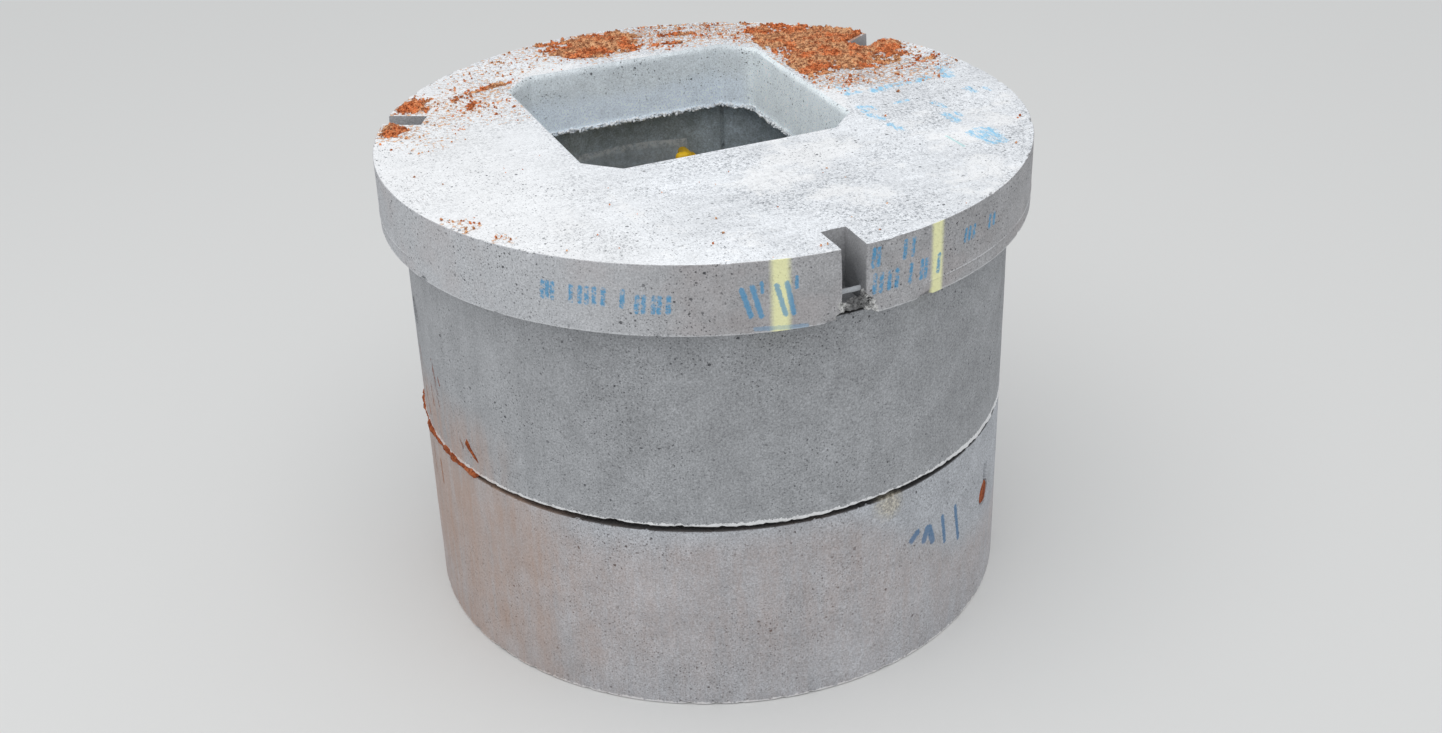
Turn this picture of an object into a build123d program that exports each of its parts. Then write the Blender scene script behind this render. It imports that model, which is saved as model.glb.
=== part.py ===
from build123d import *
from math import cos, radians, sin, sqrt
import os

# Precast concrete chamber: two jointed rings, a cover slab with an access opening, and its steps.
# Millimetres, +Z up. The origin is on the rings' axis, on the ground below the lower ring's lip.
# The access opening's sides lie along X and Y, and the steps are on the +Y side of the bore.

# Rings
bore_diameter = 1200.0
wall_thickness = 130.0
ring_pitch = 500.0
ring_count = 2
edge_chamfer = 4.0

# Tongue on top of each ring, groove below it
tongue_base_width = 65.0
tongue_top_width = 55.0
groove_depth = 25.0
joint_gap = 10.0
joint_clearance = 4.0

# Lifting holes, an opposite pair through each ring's wall
lifting_hole_diameter = 60.0
lifting_hole_height = 295.0
lifting_hole_turns = {"lower_ring": 132.0, "upper_ring": 173.0}

# Cover slab
slab_diameter = 1560.0
slab_thickness = 165.0
slab_groove_inner_clearance = 8.0

# Access opening, measured below its bevelled top edge
opening_side = 675.0
opening_corner = 72.0
opening_offset = 175.0
opening_arris = 8.0
opening_draft = 3.5

# Lifting notches in the slab's rim, each with a cast-in bar across it
notch_angles = (30.0, 150.0, 270.0)
notch_width = 58.0
notch_reach = 98.0
notch_floor_depth = 140.0
sill_reach = 63.0
breakout_flare = 5.0
bar_diameter = 12.0
bar_inset = 30.0
bar_depth = 112.0
bar_embedment = 60.0
cast_in_clearance = 0.3

# Steps cast into the rings
steps_per_ring = 2
step_pitch = 250.0
top_step_height = 360.0
step_leg_spacing = 345.0
step_bar_diameter = 26.0
step_bar_sides = 8
step_projection = 107.0
step_embedment = 90.0
step_bend_radius = 20.0
tread_length = 224.0
tread_depth = 34.0
tread_height = 24.0
tread_chamfer = 4.0
tread_rib_pitch = 28.0
tread_rib_count = 7
tread_rib_groove = 4.0
toe_stop_width = 38.0
toe_stop_depth = 28.0
toe_stop_rise = 40.0
toe_stop_round = 14.0
lug_gap = 18.0
lug_width = 13.0
lug_depth = 14.0
lug_rise = 28.0
lug_fall = 14.0

# Sizes that follow
bore_radius = bore_diameter / 2
ring_radius = bore_radius + wall_thickness
tongue_height = groove_depth + joint_gap
shoulder_height = ring_pitch - joint_gap
slab_radius = slab_diameter / 2
slab_bottom = ring_count * ring_pitch
slab_top = slab_bottom + slab_thickness
groove_base_radius = bore_radius + tongue_base_width + joint_clearance
groove_top_radius = bore_radius + tongue_top_width + joint_clearance
step_leg_x = step_leg_spacing / 2
step_leg_wall_y = sqrt(bore_radius**2 - step_leg_x**2)
step_leg_end_y = step_leg_wall_y + step_embedment
tread_y = step_leg_wall_y - step_projection
notch_back_radius = slab_radius - notch_reach
sill_front_radius = notch_back_radius + sill_reach
bar_radius_from_axis = slab_radius - bar_inset
bar_half_length = notch_width / 2 + bar_embedment
toe_stop_x = (tread_length + toe_stop_width) / 2
toe_stop_height = toe_stop_rise + tread_height / 2
lug_inner_x = toe_stop_x + toe_stop_width / 2 + lug_gap
lug_y = tread_y + step_bend_radius


def radial_plane(angle, height):
    """A plane facing out from the axis, with its x along the tangent and its y up."""
    outward = (cos(radians(angle)), sin(radians(angle)), 0)
    return Plane(origin=(0, 0, height), x_dir=(-outward[1], outward[0], 0), z_dir=outward)


def level_plane(angle, height):
    """A level plane with its x pointing out from the axis at an angle."""
    return Plane(origin=(0, 0, height), x_dir=(cos(radians(angle)), sin(radians(angle)), 0))


def tangent_plane(angle, radius, height):
    """A plane across a notch, at a radius, with its normal along the tangent."""
    outward = (cos(radians(angle)), sin(radians(angle)), 0)
    centre = (radius * outward[0], radius * outward[1], height)
    return Plane(origin=centre, x_dir=outward, z_dir=(-outward[1], outward[0], 0))


def step_heights(ring_base):
    """The heights of the steps in the ring that stands at ring_base."""
    return [ring_base + top_step_height - n * step_pitch for n in range(steps_per_ring)]


os.makedirs("parts", exist_ok=True)

# The two rings: one turned section, a pair of lifting holes and sockets for the step legs
for number, (ring_name, hole_turn) in enumerate(lifting_hole_turns.items()):
    ring_base = number * ring_pitch
    with BuildPart() as ring:
        with BuildSketch(Plane.XZ) as section:
            with BuildLine():
                Polyline(
                    (groove_base_radius, ring_base),
                    (ring_radius, ring_base),
                    (ring_radius, ring_base + shoulder_height),
                    (bore_radius + tongue_base_width, ring_base + shoulder_height),
                    (bore_radius + tongue_top_width, ring_base + shoulder_height + tongue_height),
                    (bore_radius, ring_base + shoulder_height + tongue_height),
                    (bore_radius, ring_base + groove_depth),
                    (groove_top_radius, ring_base + groove_depth),
                    close=True,
                )
            make_face()
            outer_corners = section.vertices().group_by(Axis.X)[-1]
            chamfer(outer_corners, length=edge_chamfer)
        revolve(axis=Axis.Z)
        with BuildSketch(radial_plane(hole_turn, ring_base + lifting_hole_height)):
            Circle(lifting_hole_diameter / 2)
        extrude(amount=ring_radius + wall_thickness, both=True, mode=Mode.SUBTRACT)
        for height in step_heights(ring_base):
            with BuildSketch(Plane(origin=(0, 0, height), x_dir=(-1, 0, 0), z_dir=(0, 1, 0))):
                with GridLocations(step_leg_spacing, 0, 2, 1):
                    RegularPolygon(
                        step_bar_diameter / 2 + cast_in_clearance,
                        side_count=step_bar_sides,
                        major_radius=False,
                        rotation=180 / step_bar_sides,
                    )
            extrude(amount=step_leg_end_y + cast_in_clearance, mode=Mode.SUBTRACT)
    ring.part.label = ring_name
    export_step(ring.part, f"parts/{ring_name}.step")

# The steps: a bent eight-sided bar with a ribbed tread, rounded toe stops and small outer lugs
step_levels = [z for number in range(ring_count) for z in step_heights(number * ring_pitch)]
for number, height in enumerate(sorted(step_levels, reverse=True), start=1):
    with BuildPart() as step:
        with BuildLine(Plane.XY.offset(height)) as bar_path:
            FilletPolyline(
                (-step_leg_x, step_leg_end_y),
                (-step_leg_x, tread_y),
                (step_leg_x, tread_y),
                (step_leg_x, step_leg_end_y),
                radius=step_bend_radius,
            )
        with BuildSketch(Plane(origin=bar_path.line @ 0, z_dir=bar_path.line % 0)):
            RegularPolygon(
                step_bar_diameter / 2,
                side_count=step_bar_sides,
                major_radius=False,
                rotation=180 / step_bar_sides,
            )
        sweep()
        with BuildSketch(Plane.YZ.offset(-tread_length / 2)) as tread:
            with Locations((tread_y, height)):
                Rectangle(tread_depth, tread_height)
            chamfer(tread.vertices(), length=tread_chamfer)
        extrude(amount=tread_length)
        with BuildSketch(Plane.XZ.offset(-tread_y)):
            with Locations((0, height + tread_height / 2)):
                with GridLocations(tread_rib_pitch, 0, tread_rib_count, 1):
                    Rectangle(tread_rib_groove, tread_rib_groove)
        extrude(amount=tread_depth / 2, both=True, mode=Mode.SUBTRACT)
        toe_stop_z = height + toe_stop_rise - toe_stop_height / 2
        with BuildSketch(Plane.XZ.offset(-tread_y)) as toe_stops:
            with Locations((-toe_stop_x, toe_stop_z), (toe_stop_x, toe_stop_z)):
                Rectangle(toe_stop_width, toe_stop_height)
            fillet(toe_stops.vertices().group_by(Axis.Y)[-1], radius=toe_stop_round)
        extrude(amount=toe_stop_depth / 2, both=True)
        with BuildSketch(Plane.XZ.offset(-lug_y)) as lugs:
            with BuildLine():
                Polyline(
                    (lug_inner_x, height),
                    (lug_inner_x, height + lug_rise),
                    (lug_inner_x + lug_width, height + lug_rise - lug_fall),
                    (lug_inner_x + lug_width, height),
                    close=True,
                )
            make_face()
            mirror(about=Plane.YZ)
        extrude(amount=lug_depth / 2, both=True)
    step.part.label = f"step_{number}"
    export_step(step.part, f"parts/step_{number}.step")

# The cover slab: a disc with a drafted opening, a groove for the tongue and three lifting notches
with BuildPart() as cover_slab:
    with BuildSketch(Plane.XY.offset(slab_bottom)):
        Circle(slab_radius)
    extrude(amount=slab_thickness)
    with BuildSketch(Plane.XY.offset(slab_top)) as opening_outline:
        with Locations((0, opening_offset)):
            Rectangle(opening_side, opening_side)
        chamfer(opening_outline.vertices(), length=opening_corner)
    extrude(amount=-slab_thickness, taper=opening_draft, mode=Mode.SUBTRACT)
    opening_edges = cover_slab.edges().group_by(Axis.Z)[-1].filter_by(GeomType.LINE)
    chamfer(opening_edges, length=opening_arris)
    with BuildSketch(Plane.XZ):
        with BuildLine():
            Polyline(
                (bore_radius - slab_groove_inner_clearance, slab_bottom),
                (groove_base_radius, slab_bottom),
                (groove_top_radius, slab_bottom + groove_depth),
                (bore_radius - slab_groove_inner_clearance, slab_bottom + groove_depth),
                close=True,
            )
        make_face()
    revolve(axis=Axis.Z, mode=Mode.SUBTRACT)
    for angle in notch_angles:
        with BuildSketch(level_plane(angle, slab_top)):
            with Locations((notch_back_radius + notch_reach, 0)):
                Rectangle(2 * notch_reach, notch_width)
        extrude(amount=-notch_floor_depth, mode=Mode.SUBTRACT)
        # Below the bar the concrete is broken away from the sill to the rim
        with BuildSketch(level_plane(angle, slab_bottom)):
            with BuildLine():
                Polyline(
                    (sill_front_radius, -notch_width / 2),
                    (slab_radius + breakout_flare, -notch_width / 2 - breakout_flare),
                    (slab_radius + breakout_flare, notch_width / 2 + breakout_flare),
                    (sill_front_radius, notch_width / 2),
                    close=True,
                )
            make_face()
        extrude(amount=slab_thickness - notch_floor_depth, mode=Mode.SUBTRACT)
        with BuildSketch(tangent_plane(angle, bar_radius_from_axis, slab_top - bar_depth)):
            Circle(bar_diameter / 2 + cast_in_clearance)
        extrude(amount=bar_half_length + cast_in_clearance, both=True, mode=Mode.SUBTRACT)
cover_slab.part.label = "cover_slab"
export_step(cover_slab.part, "parts/cover_slab.step")

# The lifting bars, one across each notch with both ends cast in
for number, angle in enumerate(notch_angles, start=1):
    with BuildPart() as lifting_bar:
        with BuildSketch(tangent_plane(angle, bar_radius_from_axis, slab_top - bar_depth)):
            Circle(bar_diameter / 2)
        extrude(amount=bar_half_length, both=True)
    lifting_bar.part.label = f"lifting_bar_{number}"
    export_step(lifting_bar.part, f"parts/lifting_bar_{number}.step")
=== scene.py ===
from functools import partialmethod
from math import atan2, cos, pi, radians, sin, sqrt, tan

import bpy
import numpy as np
from mathutils import Matrix, Vector


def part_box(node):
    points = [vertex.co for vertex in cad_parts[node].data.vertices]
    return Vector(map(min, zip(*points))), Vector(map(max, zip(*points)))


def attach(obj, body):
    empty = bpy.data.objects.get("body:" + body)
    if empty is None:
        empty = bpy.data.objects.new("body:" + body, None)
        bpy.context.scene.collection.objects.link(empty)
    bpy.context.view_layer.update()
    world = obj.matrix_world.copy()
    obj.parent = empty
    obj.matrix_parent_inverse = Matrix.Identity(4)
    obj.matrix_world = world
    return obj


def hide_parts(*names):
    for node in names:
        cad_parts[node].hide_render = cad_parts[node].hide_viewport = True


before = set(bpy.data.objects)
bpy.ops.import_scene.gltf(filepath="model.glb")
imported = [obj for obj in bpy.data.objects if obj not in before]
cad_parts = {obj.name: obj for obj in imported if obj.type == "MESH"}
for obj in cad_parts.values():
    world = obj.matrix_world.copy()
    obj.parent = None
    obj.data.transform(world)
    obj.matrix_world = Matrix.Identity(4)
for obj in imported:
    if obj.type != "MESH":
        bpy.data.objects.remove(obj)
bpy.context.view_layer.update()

# Sizes in metres, read from the frame where a node's box gives them
slab_low, slab_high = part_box("cover_slab")
ring_low, ring_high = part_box("upper_ring")
slab_radius, slab_top, slab_bottom = slab_high.x, slab_high.z, slab_low.z
slab_thickness = 0.165
ring_radius, ring_pitch = ring_high.x, ring_low.z
wall_thickness = 0.130
bore_radius = ring_radius - wall_thickness
groove_depth = 0.025
joint_gap = 0.010
shoulder_height = ring_pitch - joint_gap
ring_bevel = 0.004
tongue_top_radius = bore_radius + 0.055
tongue_base_radius = bore_radius + 0.065
groove_clearance = 0.004
slab_groove_inner_radius = 0.592
mould_line_height = slab_bottom + 0.0325

# How many columns of points stand round a ring and round the slab
ring_columns, slab_columns = 840, 720

# The access opening
opening_centre_y = 0.175
opening_half_side = 0.3375
opening_corner = 0.072
opening_arris = 0.008
opening_slope = tan(radians(3.5))

# The lifting notches and the bar across each
notch_angles = {"1": radians(30), "2": radians(150), "3": radians(270)}
notch_back_radius = slab_radius - 0.098
notch_half_width = 0.029
notch_floor = slab_bottom + 0.025
bar_radius_from_axis = slab_radius - 0.030
bar_half_length = 0.089
bar_radius = 0.006

# The lifting holes, as the turn and height of each pair
lifting_hole_radius, soil_plug_radius = 0.030, 0.0292
lifting_holes = {"lower_ring": (radians(132), 0.295), "upper_ring": (radians(173), 0.795)}

# The steps
step_names = ("step_1", "step_2", "step_3", "step_4")
step_leg_x = 0.1725
step_bar_radius = 0.013
step_bend = 0.020
tread_half_length, tread_half_depth, tread_half_height = 0.112, 0.017, 0.012
tread_rib_pitch, tread_groove = 0.028, 0.0022
toe_stop_x, toe_stop_sizes, toe_stop_round = 0.131, (0.038, 0.028, 0.052), 0.0125
lug_x, lug_inner_x, lug_sizes, lug_round = 0.1745, 0.168, (0.013, 0.014, 0.028), 0.003

# The upright seam that the mould left on the inner wall, and the patches of mortar round the steps
inner_seam_turn = radians(62.5)
patch_half_width = 0.186
patch_rise = 0.034

# The direction that faces the left of the photograph, where the rim's mould line shows
leftward_x, leftward_y = -0.924, 0.383


class Noise:
    """Smooth random values in space, from one seeded table that repeats every 64 cells."""

    def __init__(self, seed):
        self.table = np.random.default_rng(seed).random((64, 64, 64)).astype(np.float32) * 2 - 1

    def __call__(self, points, cell):
        scaled = np.asarray(points, float) / cell
        base = np.floor(scaled).astype(int)
        part = scaled - base
        part = part * part * (3 - 2 * part)
        total = np.zeros(scaled.shape[:-1])
        for step in np.ndindex(2, 2, 2):
            weights = np.abs(1 - np.array(step) - part)
            corner = (base + step) % 64
            table_values = self.table[corner[..., 0], corner[..., 1], corner[..., 2]]
            total += weights[..., 0] * weights[..., 1] * weights[..., 2] * table_values
        return total

    def layered(self, points, cell, layers=3):
        """Finer and fainter layers of noise added together."""
        return sum(self(points, cell / 2**n) / 2**n for n in range(layers))


def smooth_step(value, low, high):
    """0 at low, 1 at high, and a smooth curve between."""
    t = np.clip((value - low) / (high - low), 0, 1)
    return t * t * (3 - 2 * t)


def ridge(gap, width):
    """1 where the gap is nothing, falling smoothly to almost 0 at twice the width."""
    return np.exp(-((gap / width) ** 2))


def spaced(start, end, step):
    """Evenly spaced values from start up to but not including end, about a step apart."""
    count = max(1, round(abs(end - start) / step))
    return [start + (end - start) * n / count for n in range(count)]


def upright(radius, turn, height, centre_y=0.0):
    """Points at a radius and turn round an upright axis, and a height."""
    return np.stack([radius * np.cos(turn), radius * np.sin(turn) + centre_y, height], axis=-1)


def lathed(along, reach, side):
    """Points along x, each at a reach from the x axis and a turn round it."""
    return np.stack([along, reach * np.cos(side), reach * np.sin(side)], axis=-1)


def tube_grid(stations, columns):
    """Each station along a tube against each turn round it."""
    return np.meshgrid(stations, np.arange(columns) * 2 * pi / columns, indexing="ij")


def mesh_object(name, vertices, faces, material, crease=40):
    """A smooth-shaded mesh whose edges stay crisp past the crease angle in degrees."""
    mesh = bpy.data.meshes.new(name)
    mesh.from_pydata(np.asarray(vertices).reshape(-1, 3).tolist(), [], faces)
    mesh.materials.append(material)
    mesh.validate()
    made = bpy.data.objects.new(name, mesh)
    sharpen(made, crease)
    bpy.context.scene.collection.objects.link(made)
    return made


def grid_object(name, points, material, crease=40, closed=False):
    """A grid of points joined up round its columns, and round its rows too or with a face at each end."""
    rows, columns = points.shape[:2]
    row, column = np.meshgrid(np.arange(rows if closed else rows - 1), np.arange(columns), indexing="ij")
    below, beside = (row + 1) % rows, (column + 1) % columns
    start, end = row * columns, below * columns
    corners = [start + column, start + beside, end + beside, end + column]
    faces = np.stack(corners, axis=-1).reshape(-1, 4).tolist()
    if not closed:
        faces.append(list(range(columns))[::-1])
        faces.append([(rows - 1) * columns + n for n in range(columns)])
    return mesh_object(name, points, faces, material, crease)


def sharpen(piece, crease=40):
    """Smooth shading, with crisp edges past the crease angle."""
    piece.data.shade_smooth()
    piece.data.set_sharp_from_angle(angle=radians(crease))


def push_out(surface, amount):
    """Move each point of a closed grid along the grid's own normal."""
    along = np.roll(surface, -1, 0) - np.roll(surface, 1, 0)
    across = np.roll(surface, -1, 1) - np.roll(surface, 1, 1)
    normal = np.cross(across, along)
    normal /= np.maximum(np.linalg.norm(normal, axis=-1, keepdims=True), 1e-9)
    return surface + normal * amount[..., None]


def apply_modifier(piece, kind, **settings):
    """Change a piece's mesh with a modifier."""
    modifier = piece.modifiers.new(kind.lower(), kind)
    for key, value in settings.items():
        setattr(modifier, key, value)
    depsgraph = bpy.context.evaluated_depsgraph_get()
    result = bpy.data.meshes.new_from_object(piece.evaluated_get(depsgraph))
    piece.modifiers.clear()
    piece.data = result


def apply_boolean(target, tool, operation):
    """Cut the tool from the target, or join it to the target, and delete the tool."""
    apply_modifier(target, "BOOLEAN", operation=operation, solver="MANIFOLD",
                   material_mode="TRANSFER", object=tool)
    bpy.data.objects.remove(tool)


def radial_frame(angle, radius, height):
    """A matrix whose x points out from the axis, y along the tangent and z up."""
    out, side = Vector((cos(angle), sin(angle), 0)), Vector((-sin(angle), cos(angle), 0))
    matrix = Matrix((out, side, Vector((0, 0, 1)))).transposed().to_4x4()
    matrix.translation = out * radius + Vector((0, 0, height))
    return matrix


def placed(points, matrix):
    """Points moved from a matrix's own frame to the world's."""
    world = np.array(matrix)
    return points @ world[:3, :3].T + world[:3, 3]


def shaped_block(size, cuts, shape, matrix, material):
    """A cube with finely cut faces, its points changed by a function and placed in a frame."""
    bpy.ops.mesh.primitive_cube_add(size=size)
    block = bpy.context.object
    bpy.ops.object.mode_set(mode="EDIT")
    bpy.ops.mesh.subdivide(number_cuts=cuts)
    bpy.ops.object.mode_set(mode="OBJECT")
    points = shape(np.array([v.co for v in block.data.vertices]))
    block.data.vertices.foreach_set("co", placed(points, matrix).ravel())
    block.data.materials.append(material)
    block.data.update()
    return block


def bite_out(target, matrix, sizes, roughness, cell, seed, material, cuts=24):
    """Cut a rounded box with a rough skin from the target, as where concrete broke off."""
    def rough_shape(points):
        sphere = points / np.linalg.norm(points, axis=1, keepdims=True)
        points = (points * 0.72 + sphere * 0.40) * np.array(sizes)
        outward = sphere * (1 / np.array(sizes))
        outward /= np.linalg.norm(outward, axis=1, keepdims=True)
        return points + outward * (roughness * Noise(seed).layered(points, cell))[:, None]

    apply_boolean(target, shaped_block(2, cuts, rough_shape, matrix, material), "DIFFERENCE")


class Value:
    """A value or colour in a material. Sums done with it add the nodes that work them out."""

    def __init__(self, shader, socket):
        self.shader, self.socket = shader, socket

    def output(self, name):
        """Another output of the node that this value comes from."""
        return Value(self.shader, self.socket.node.outputs[name])

    def maths(self, operation, other=0.0):
        return self.shader.add("ShaderNodeMath", {0: self, 1: other}, operation=operation)

    __add__ = partialmethod(maths, "ADD")
    __sub__ = partialmethod(maths, "SUBTRACT")
    __mul__ = partialmethod(maths, "MULTIPLY")
    __truediv__ = partialmethod(maths, "DIVIDE")
    __abs__ = partialmethod(maths, "ABSOLUTE")
    above = partialmethod(maths, "GREATER_THAN")
    below = partialmethod(maths, "LESS_THAN")

    def __rsub__(self, other):
        return self.shader.add("ShaderNodeMath", {0: other, 1: self}, operation="SUBTRACT")

    def fade(self, low, high, to_low=0.0, to_high=1.0):
        """A smooth ramp from to_low at low to to_high at high, where high may be the smaller one."""
        inputs = {"Value": self, "From Min": low, "From Max": high, "To Min": to_low, "To Max": to_high}
        return self.shader.add("ShaderNodeMapRange", inputs, interpolation_type="SMOOTHSTEP")

    def within(self, low, high, edge):
        """1 between low and high, fading to 0 over the edge width outside them."""
        return self.fade(low - edge, low) * self.fade(high + edge, high)


def most(*values):
    """The greatest of some values."""
    total = values[0]
    for value in values[1:]:
        total = total.maths("MAXIMUM", value)
    return total


def painted(colour, paint, share):
    """A colour with a share of another laid over it."""
    return share.shader.add("ShaderNodeMix", {0: share, 6: colour, 7: paint}, 2, data_type="RGBA")


def tinted(colour, *tones):
    """A colour made lighter or darker by each (value around 0.5, strength) in turn."""
    for tone, strength in tones:
        colour = tone.shader.vector("SCALE", colour, (tone - 0.5) * (2 * strength) + 1.0)
    return colour


class Shader:
    """A material built from small named steps, with the place on the object as x, y and z."""

    def __init__(self, name, roughness=0.9):
        self.material = bpy.data.materials.new(name)
        self.material.use_nodes = True
        self.tree = self.material.node_tree
        self.surface = self.tree.nodes["Principled BSDF"]
        self.surface.inputs["Roughness"].default_value = roughness
        self.surface.inputs["Specular IOR Level"].default_value = 0.3
        self.place = self.add("ShaderNodeTexCoord", {}, "Object")
        parts = self.add("ShaderNodeSeparateXYZ", {"Vector": self.place})
        self.x, self.y, self.z = (parts.output(n) for n in range(3))
        self.flat = self.add("ShaderNodeCombineXYZ", {"X": self.x, "Y": self.y})
        self.radius = self.vector("LENGTH", self.flat)

    def add(self, kind, inputs, output=0, **settings):
        """A node with its inputs filled in, as the value of one of its outputs."""
        made = self.tree.nodes.new(kind)
        for key, value in settings.items():
            setattr(made, key, value)
        for key, value in inputs.items():
            if isinstance(value, Value):
                self.tree.links.new(value.socket, made.inputs[key])
            elif made.inputs[key].type == "VECTOR":
                made.inputs[key].default_value = value[:3]
            else:
                made.inputs[key].default_value = value
        return Value(self, made.outputs[output])

    def vector(self, operation, a, b=(0, 0, 0)):
        """Vector maths, where a vector is scaled by a plain value."""
        inputs = {0: a, "Scale" if operation == "SCALE" else 1: b}
        output = "Value" if operation in ("LENGTH", "DISTANCE", "DOT_PRODUCT") else "Vector"
        return self.add("ShaderNodeVectorMath", inputs, output, operation=operation)

    def noise(self, scale, detail, roughness, offset=0.0, stretch=(1, 1, 1)):
        """Smooth noise around 0.5 at a scale, with finer layers of a roughness, moved and stretched."""
        place = self.place
        if offset or stretch != (1, 1, 1):
            inputs = {"Vector": place, "Scale": stretch, "Location": (offset, offset, offset)}
            place = self.add("ShaderNodeMapping", inputs)
        inputs = {"Vector": place, "Scale": scale, "Detail": detail, "Roughness": roughness}
        return self.add("ShaderNodeTexNoise", inputs)

    def pits(self, place, large_share):
        """Uneven pits of three sizes over an unrolled face, with ragged outlines."""
        bend = self.add("ShaderNodeTexNoise", {"Vector": place, "Scale": 170.0, "Detail": 2.0}, "Color")
        bend = self.vector("SCALE", self.vector("SUBTRACT", bend, (0.5, 0.5, 0.5)), 0.006)
        place = self.vector("ADD", place, bend)

        def one_size(scale, share, small, large):
            """Pits in a share of the cells, with radii from small to large of a cell."""
            cells = {"Vector": place, "Scale": scale}
            gap = self.add("ShaderNodeTexVoronoi", cells, "Distance", voronoi_dimensions="2D")
            random = self.add("ShaderNodeSeparateColor", {"Color": gap.output("Color")})
            radius = random.output(1).maths("POWER", 3.0) * (large - small) + small
            return (gap / radius).fade(1.1, 0.7) * random.below(share)

        large, middle = one_size(34.0, large_share, 0.03, 0.14), one_size(80.0, 0.50, 0.05, 0.20)
        return most(large, middle * 0.85, one_size(175.0, 0.50, 0.10, 0.32) * 0.65)

    def strokes(self, place, marks, rough):
        """1 along each (start, end, half width) brush stroke, with dry ragged edges."""
        masks = []
        for start, end, half_width in marks:
            start, end = Vector((*start, 0)), Vector((*end, 0))
            along = end - start
            offset = self.vector("SUBTRACT", place, start)
            share = self.vector("DOT_PRODUCT", offset, along / along.length_squared)
            foot = self.vector("SCALE", along, self.add("ShaderNodeClamp", {"Value": share}))
            gap = self.vector("DISTANCE", offset, foot) + rough
            masks.append(gap.fade(half_width * 1.3, half_width * 0.7))
        return most(*masks)

    def unrolled(self, radius, centre_y=0.0):
        """Places on an upright wall as metres round its centre and height, and the metres alone."""
        turn = (self.y - centre_y).maths("ARCTAN2", self.x)
        round_it = (turn + turn.below(0.0) * (2 * pi)) * radius
        return self.add("ShaderNodeCombineXYZ", {"X": round_it, "Y": self.z}), round_it

    def finish(self, colour, bumps):
        """Join the colour to the surface, and add bumps given as (height, metres) pairs."""
        self.tree.links.new(colour.socket, self.surface.inputs["Base Color"])
        below = {}
        for height, distance in bumps:
            bump = self.add("ShaderNodeBump", {"Height": height, "Distance": distance, **below})
            below = {"Normal": bump}
        if bumps:
            self.tree.links.new(bump.socket, self.surface.inputs["Normal"])
        return self.material


def rgb(red, green, blue):
    """A colour as it looks on screen, from 0 to 255, in the linear values that shaders use."""
    return tuple(((v / 255 + 0.055) / 1.055) ** 2.4 for v in (red, green, blue)) + (1.0,)


# Colours
soil_light = rgb(255, 200, 150)
soil_mid = rgb(255, 156, 98)
soil_dark = rgb(120, 46, 16)
dust_colour = rgb(200, 164, 144)
paint_yellow = rgb(255, 255, 200)
paint_blue = rgb(64, 160, 212)
old_blue = rgb(56, 118, 166)

# Marks on the rim, as (turn in degrees, height) from start to end and half a width in metres
rim_tally_marks = [
    ((252.3, 1.103), (253.6, 1.043), 0.0058), ((253.9, 1.107), (255.2, 1.040), 0.0056),
    ((257.6, 1.106), (258.9, 1.039), 0.0056), ((259.2, 1.108), (260.2, 1.039), 0.0056),
    ((255.3, 1.116), (255.4, 1.094), 0.0036), ((260.7, 1.120), (260.7, 1.096), 0.0036),
]
rim_faint_band = [((254.3, 1.012), (262.2, 1.006), 0.0050)]

# Worn dashes on the rim, as height, half a length and the turns in degrees of each row
rim_worn_dashes = [
    (1.085, 0.017, (221.2, 222.0, 222.9, 226.0, 227.5, 228.6, 229.8, 231.2, 234.2)),
    (1.074, 0.017, (236.4, 237.4, 238.9, 239.8, 241.2)),
    (1.128, 0.018, (273.2, 274.1, 279.0, 280.6)),
    (1.068, 0.019, (273.4, 274.6, 276.1, 277.5, 280.2, 282.4, 283.3, 286.0)),
    (1.102, 0.012, (292.4, 293.4, 294.6, 299.2, 300.6)),
]
yellow_stripes = [(258.2, 0.022), (285.8, 0.018)]

# Blue marks and smears of soil on the rings, given as the rim's marks are
lower_ring_marks = [
    ((294.2, 0.352), (295.2, 0.276), 0.006), ((298.5, 0.352), (300.0, 0.252), 0.006),
    ((288.9, 0.318), (289.7, 0.347), 0.009), ((290.3, 0.346), (291.4, 0.302), 0.009),
    ((285.6, 0.338), (287.0, 0.352), 0.009),
]
lower_ring_smears = [((176.0, 0.45), (176.2, 0.36), 0.004), ((181.0, 0.43), (181.3, 0.37), 0.005)]
upper_ring_smears = [
    ((183.0, 0.720), (184.4, 0.640), 0.0050), ((180.4, 0.640), (181.2, 0.590), 0.0040),
    ((173.4, 0.700), (175.0, 0.620), 0.0050), ((185.6, 0.690), (186.2, 0.672), 0.0030),
    ((175.5, 0.600), (177.0, 0.540), 0.0060), ((184.2, 0.622), (184.9, 0.604), 0.0040),
    ((193.0, 0.566), (193.8, 0.552), 0.0040),
]

# Brush marks on the top, as (x, y) from start to end and half a width
top_brush_marks = [
    ((0.530, -0.347), (0.545, -0.418), 0.0150), ((0.561, -0.339), (0.571, -0.422), 0.0150),
    ((0.580, -0.344), (0.577, -0.392), 0.0135), ((0.537, -0.215), (0.540, -0.262), 0.0135),
    ((0.565, -0.215), (0.565, -0.241), 0.0075), ((0.469, 0.008), (0.501, 0.017), 0.0180),
    ((0.520, 0.019), (0.565, 0.023), 0.0150), ((0.402, 0.078), (0.409, 0.030), 0.0150),
    ((0.391, 0.017), (0.426, 0.020), 0.0105), ((0.380, -0.074), (0.380, -0.110), 0.0090),
    ((0.377, -0.135), (0.389, -0.172), 0.0120), ((0.395, -0.082), (0.411, -0.101), 0.0090),
    ((0.391, -0.214), (0.399, -0.248), 0.0120), ((0.553, -0.135), (0.561, -0.171), 0.0090),
    ((0.474, -0.093), (0.504, -0.087), 0.0090), ((0.678, -0.083), (0.680, -0.117), 0.0105),
    ((0.715, -0.098), (0.718, -0.121), 0.0075), ((0.700, 0.080), (0.679, 0.018), 0.0180),
    ((0.597, 0.017), (0.626, 0.030), 0.0135),
]
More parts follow.
